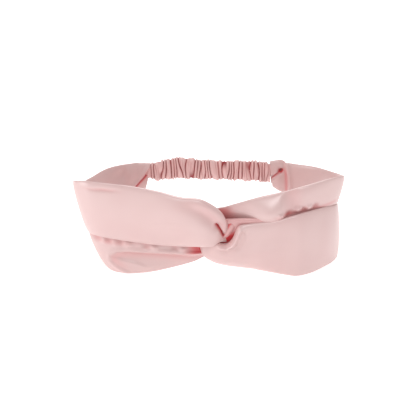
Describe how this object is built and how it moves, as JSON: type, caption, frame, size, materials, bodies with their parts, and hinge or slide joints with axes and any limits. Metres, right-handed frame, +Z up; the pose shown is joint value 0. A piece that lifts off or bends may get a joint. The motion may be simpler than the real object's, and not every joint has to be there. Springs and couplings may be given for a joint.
{
  "type": "knotted headband",
  "caption": "Twisted-front fabric headband: satin tubes looped through each other, with a gathered elastic casing behind.",
  "frame": {"origin": "on the surface it stands on, under the middle of the ring", "axes": "+Z up through the ring, +X to the wearer's right-hand wing seen from the front, -Y out of the front"},
  "size_m": [0.2, 0.093, 0.0789],
  "materials": {
    "band_satin": "soft satin sheen",
    "casing_satin": "gathered satin",
    "elastic_knit": "matte knit",
    "sewing_thread": "polyester thread"
  },
  "bodies": {
    "left_half": {"left_band": "band_satin", "left_band_seam": "sewing_thread", "left_end_stitching": "sewing_thread", "left_elastic_tack": "sewing_thread", "elastic_casing": "casing_satin", "elastic_tape": "elastic_knit", "casing_seam": "sewing_thread"},
    "right_half": {"right_band": "band_satin", "right_band_seam": "sewing_thread", "right_end_stitching": "sewing_thread", "right_elastic_tack": "sewing_thread"}
  },
  "joints": [
    {"name": "knot_hinge", "type": "hinge", "parent": "left_half", "child": "right_half", "pos_m": [0.00366, -0.03085, 0.0365], "axis": [0, 0, -1], "range_deg": [0, 24], "stiffness_Nm_per_rad": 0.86, "deforming": ["elastic_casing", "elastic_tape", "casing_seam", "left_band", "right_band"]}
  ]
}
